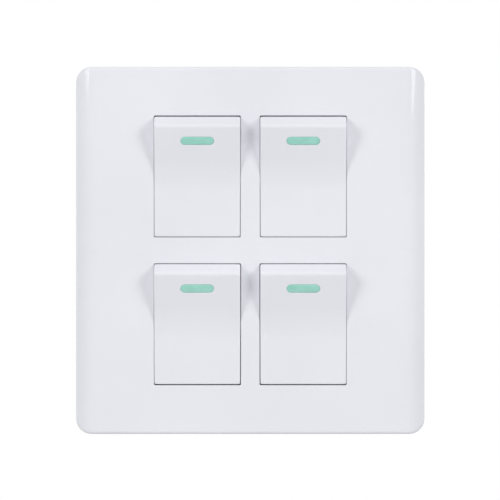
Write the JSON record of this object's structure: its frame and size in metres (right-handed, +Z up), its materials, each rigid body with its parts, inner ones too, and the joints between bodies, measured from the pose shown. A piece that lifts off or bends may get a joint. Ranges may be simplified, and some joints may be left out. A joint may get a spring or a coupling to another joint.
{
  "type": "four-gang light switch",
  "caption": "Flush white wall switch plate with large tipping rockers, each with a pale green strip, over a rear housing with seesaw contacts.",
  "frame": {"origin": "centre of the two fixing slots, in the wall plane at the frame's rear face", "axes": "+Z up, +X to the right as seen from the front, +Y into the wall; the front looks along -Y"},
  "size_m": [0.086, 0.0326, 0.0904],
  "materials": {
    "white_gloss": "smooth glossy white moulding",
    "frame_white": "satin white moulding",
    "housing_white": "satin off-white moulding",
    "pale_green": "smooth pale green insert",
    "guide_plastic": "natural nylon",
    "spring_steel": "bare spring wire",
    "zinc_steel": "zinc plated",
    "contact_brass": "stamped and milled brass",
    "contact_silver": "silver contact metal"
  },
  "bodies": {
    "base": {"cover_plate": "white_gloss", "mounting_frame": "frame_white", "rear_housing": "housing_white", "housing_screws": "zinc_steel", "terminal_screws": "zinc_steel", "top_left_common_terminal": "contact_brass", "top_left_switched_terminal": "contact_brass", "top_left_fixed_contact": "contact_silver", "top_right_common_terminal": "contact_brass", "top_right_switched_terminal": "contact_brass", "top_right_fixed_contact": "contact_silver", "bottom_left_common_terminal": "contact_brass", "bottom_left_switched_terminal": "contact_brass", "bottom_left_fixed_contact": "contact_silver", "bottom_right_common_terminal": "contact_brass", "bottom_right_switched_terminal": "contact_brass", "bottom_right_fixed_contact": "contact_silver"},
    "top_left_rocker_body": {"top_left_rocker": "white_gloss", "top_left_indicator": "pale_green", "top_left_spring": "spring_steel"},
    "top_left_plunger_body": {"top_left_plunger": "guide_plastic"},
    "top_left_bridge_body": {"top_left_bridge": "contact_brass", "top_left_moving_contact": "contact_silver"},
    "top_right_rocker_body": {"top_right_rocker": "white_gloss", "top_right_indicator": "pale_green", "top_right_spring": "spring_steel"},
    "top_right_plunger_body": {"top_right_plunger": "guide_plastic"},
    "top_right_bridge_body": {"top_right_bridge": "contact_brass", "top_right_moving_contact": "contact_silver"},
    "bottom_left_rocker_body": {"bottom_left_rocker": "white_gloss", "bottom_left_indicator": "pale_green", "bottom_left_spring": "spring_steel"},
    "bottom_left_plunger_body": {"bottom_left_plunger": "guide_plastic"},
    "bottom_left_bridge_body": {"bottom_left_bridge": "contact_brass", "bottom_left_moving_contact": "contact_silver"},
    "bottom_right_rocker_body": {"bottom_right_rocker": "white_gloss", "bottom_right_indicator": "pale_green", "bottom_right_spring": "spring_steel"},
    "bottom_right_plunger_body": {"bottom_right_plunger": "guide_plastic"},
    "bottom_right_bridge_body": {"bottom_right_bridge": "contact_brass", "bottom_right_moving_contact": "contact_silver"}
  },
  "joints": [
    {"name": "top_left_rock", "type": "hinge", "parent": "base", "child": "top_left_rocker_body", "pos_m": [-0.01305, -0.0056, 0.01815], "axis": [-1, 0, 0], "range_deg": [0, 10]},
    {"name": "top_left_press", "type": "slide", "parent": "top_left_rocker_body", "child": "top_left_plunger_body", "axis": [0, -0.9962, -0.0872], "range_m": [0, 0.0008], "stiffness_N_per_m": 300, "springref_m": -0.0015, "deforming": ["top_left_spring"]},
    {"name": "top_left_switch", "type": "hinge", "parent": "base", "child": "top_left_bridge_body", "pos_m": [-0.01305, 0.0055, 0.01815], "axis": [1, 0, 0], "range_deg": [0, 15]},
    {"name": "top_right_rock", "type": "hinge", "parent": "base", "child": "top_right_rocker_body", "pos_m": [0.01305, -0.0056, 0.01815], "axis": [-1, 0, 0], "range_deg": [0, 10]},
    {"name": "top_right_press", "type": "slide", "parent": "top_right_rocker_body", "child": "top_right_plunger_body", "axis": [0, -0.9962, -0.0872], "range_m": [0, 0.0008], "stiffness_N_per_m": 300, "springref_m": -0.0015, "deforming": ["top_right_spring"]},
    {"name": "top_right_switch", "type": "hinge", "parent": "base", "child": "top_right_bridge_body", "pos_m": [0.01305, 0.0055, 0.01815], "axis": [1, 0, 0], "range_deg": [0, 15]},
    {"name": "bottom_left_rock", "type": "hinge", "parent": "base", "child": "bottom_left_rocker_body", "pos_m": [-0.01305, -0.0056, -0.01815], "axis": [-1, 0, 0], "range_deg": [0, 10]},
    {"name": "bottom_left_press", "type": "slide", "parent": "bottom_left_rocker_body", "child": "bottom_left_plunger_body", "axis": [0, -0.9962, -0.0872], "range_m": [0, 0.0008], "stiffness_N_per_m": 300, "springref_m": -0.0015, "deforming": ["bottom_left_spring"]},
    {"name": "bottom_left_switch", "type": "hinge", "parent": "base", "child": "bottom_left_bridge_body", "pos_m": [-0.01305, 0.0055, -0.01815], "axis": [1, 0, 0], "range_deg": [0, 15]},
    {"name": "bottom_right_rock", "type": "hinge", "parent": "base", "child": "bottom_right_rocker_body", "pos_m": [0.01305, -0.0056, -0.01815], "axis": [-1, 0, 0], "range_deg": [0, 10]},
    {"name": "bottom_right_press", "type": "slide", "parent": "bottom_right_rocker_body", "child": "bottom_right_plunger_body", "axis": [0, -0.9962, -0.0872], "range_m": [0, 0.0008], "stiffness_N_per_m": 300, "springref_m": -0.0015, "deforming": ["bottom_right_spring"]},
    {"name": "bottom_right_switch", "type": "hinge", "parent": "base", "child": "bottom_right_bridge_body", "pos_m": [0.01305, 0.0055, -0.01815], "axis": [1, 0, 0], "range_deg": [0, 15]}
  ],
  "couplings": [
    {"joint": "top_left_switch", "follows": "top_left_rock", "ratio": 1.5},
    {"joint": "top_right_switch", "follows": "top_right_rock", "ratio": 1.5},
    {"joint": "bottom_left_switch", "follows": "bottom_left_rock", "ratio": 1.5},
    {"joint": "bottom_right_switch", "follows": "bottom_right_rock", "ratio": 1.5}
  ]
}
